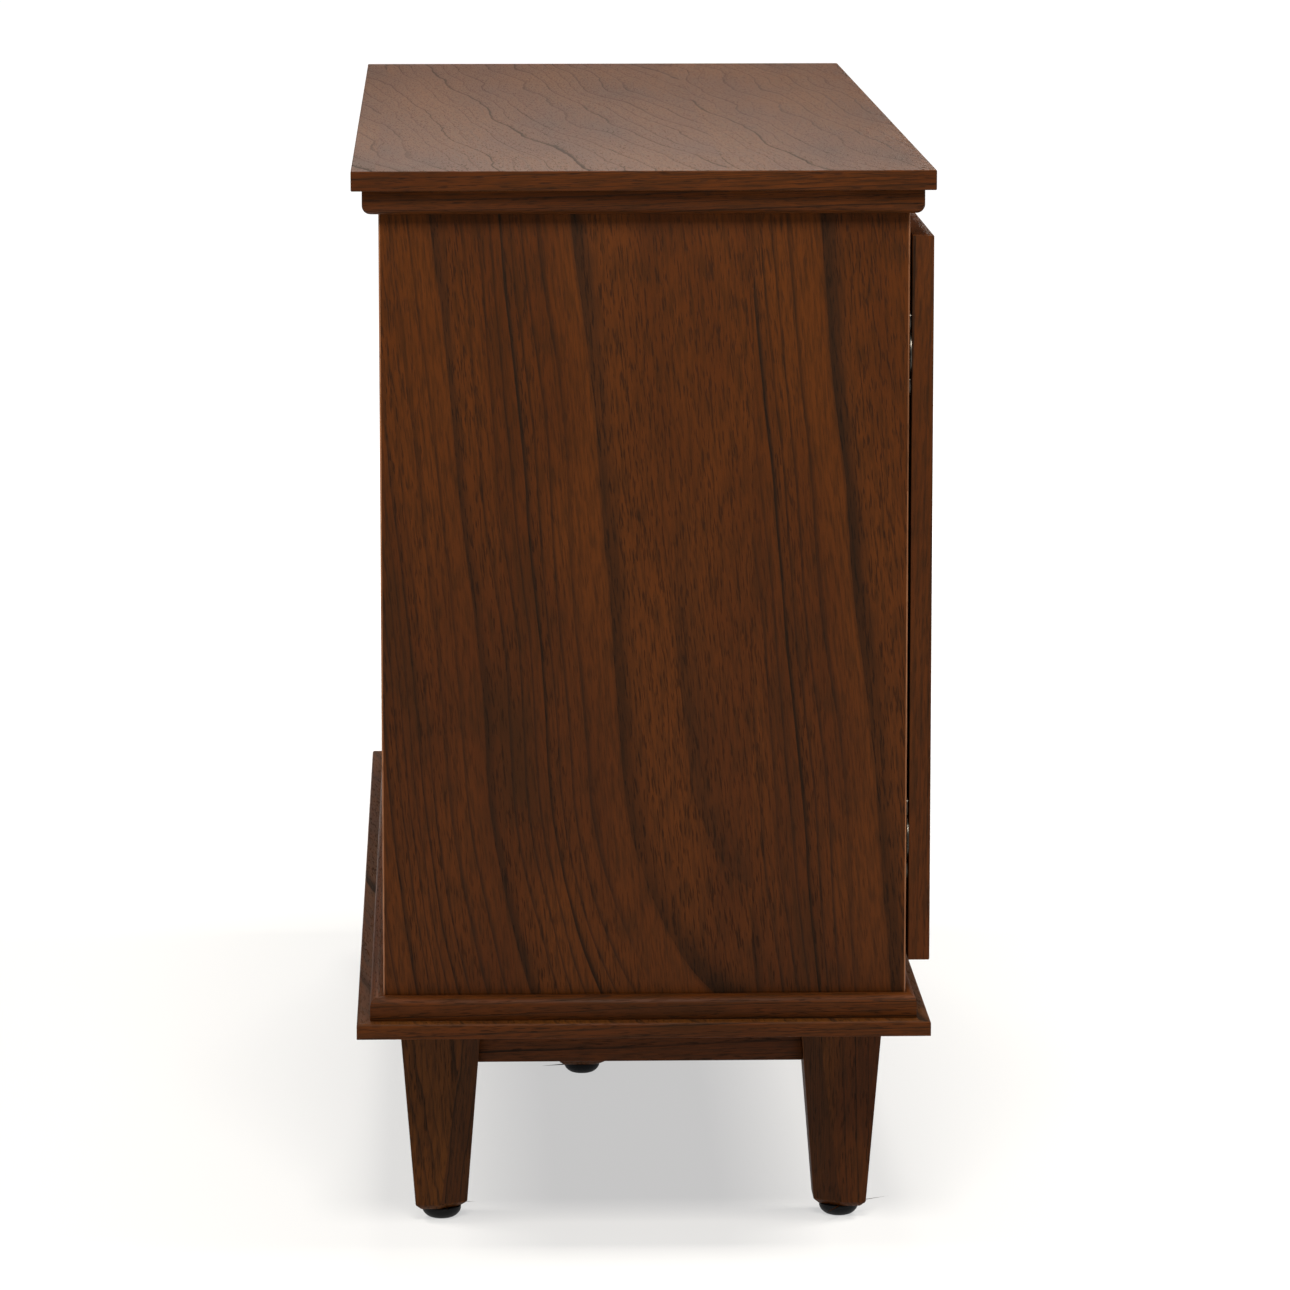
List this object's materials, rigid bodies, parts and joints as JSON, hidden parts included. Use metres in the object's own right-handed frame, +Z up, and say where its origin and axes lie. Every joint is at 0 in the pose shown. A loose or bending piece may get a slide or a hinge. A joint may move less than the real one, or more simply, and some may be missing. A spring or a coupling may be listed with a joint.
{
  "type": "sideboard buffet",
  "caption": "Low dining-room cabinet on tapered legs, with moulded top and base, hinged doors over shelves, and a central bank of sliding drawers.",
  "frame": {"origin": "on the floor under the middle of the whole piece, knobs included", "axes": "+Z up, +X along the length to the viewer's right as seen from the front, doors and drawers face -Y"},
  "size_m": [1.194, 0.456, 0.813],
  "materials": {
    "walnut": "dark walnut stain under satin lacquer, open grain",
    "inner_wood": "clear sealed hardwood",
    "plywood": "stained plywood, matt",
    "zinc_steel": "bright zinc plate",
    "nickel_steel": "nickel-plated pressed steel",
    "black_plastic": "moulded, matt",
    "brass": "antique brass, satin"
  },
  "bodies": {
    "cabinet": {"back_panel": "plywood", "base_moulding_back": "walnut", "base_moulding_front": "walnut", "base_moulding_left": "walnut", "base_moulding_right": "walnut", "base_slab": "walnut", "cabinet_floor": "walnut", "centre_rail": "walnut", "cross_rail_left": "walnut", "cross_rail_right": "walnut", "drawer_runners": "inner_wood", "glides": "black_plastic", "head_rail_back": "walnut", "head_rail_front": "walnut", "hinge_arms": "nickel_steel", "hinge_plates": "nickel_steel", "leg_back_left": "walnut", "leg_back_right": "walnut", "leg_bolts": "zinc_steel", "leg_centre": "walnut", "leg_front_left": "walnut", "leg_front_right": "walnut", "partition_left": "walnut", "partition_right": "walnut", "plinth_rail_back": "walnut", "plinth_rail_front": "walnut", "rail_screws": "zinc_steel", "shelf_left": "walnut", "shelf_pins": "zinc_steel", "shelf_right": "walnut", "side_panel_left": "walnut", "side_panel_right": "walnut", "sub_top": "walnut", "top_moulding_back": "walnut", "top_moulding_front": "walnut", "top_moulding_left": "walnut", "top_moulding_right": "walnut", "top_screws": "zinc_steel", "top_slab": "walnut"},
    "door_l": {"door_left": "walnut", "hinge_cups_left": "nickel_steel", "knob_left": "brass"},
    "door_r": {"door_right": "walnut", "hinge_cups_right": "nickel_steel", "knob_right": "brass"},
    "drawer_lower": {"drawer_front_lower": "walnut", "knob_lower": "brass", "drawer_sides_lower": "inner_wood", "drawer_bottom_lower": "plywood", "drawer_back_lower": "inner_wood"},
    "drawer_middle": {"drawer_front_middle": "walnut", "knob_middle": "brass", "drawer_sides_middle": "inner_wood", "drawer_bottom_middle": "plywood", "drawer_back_middle": "inner_wood"},
    "drawer_upper": {"drawer_front_upper": "walnut", "knob_upper": "brass", "drawer_sides_upper": "inner_wood", "drawer_bottom_upper": "plywood", "drawer_back_upper": "inner_wood"}
  },
  "joints": [
    {"name": "door_left_hinge", "type": "hinge", "parent": "cabinet", "child": "door_l", "pos_m": [-0.5705, -0.198, 0.48875], "axis": [0, 0, -1], "range_deg": [0, 100]},
    {"name": "door_right_hinge", "type": "hinge", "parent": "cabinet", "child": "door_r", "pos_m": [0.5705, -0.198, 0.48875], "axis": [0, 0, 1], "range_deg": [0, 100]},
    {"name": "drawer_lower_slide", "type": "slide", "parent": "cabinet", "child": "drawer_lower", "axis": [0, -1, 0], "range_m": [0, 0.26]},
    {"name": "drawer_middle_slide", "type": "slide", "parent": "cabinet", "child": "drawer_middle", "axis": [0, -1, 0], "range_m": [0, 0.26]},
    {"name": "drawer_upper_slide", "type": "slide", "parent": "cabinet", "child": "drawer_upper", "axis": [0, -1, 0], "range_m": [0, 0.26]}
  ]
}
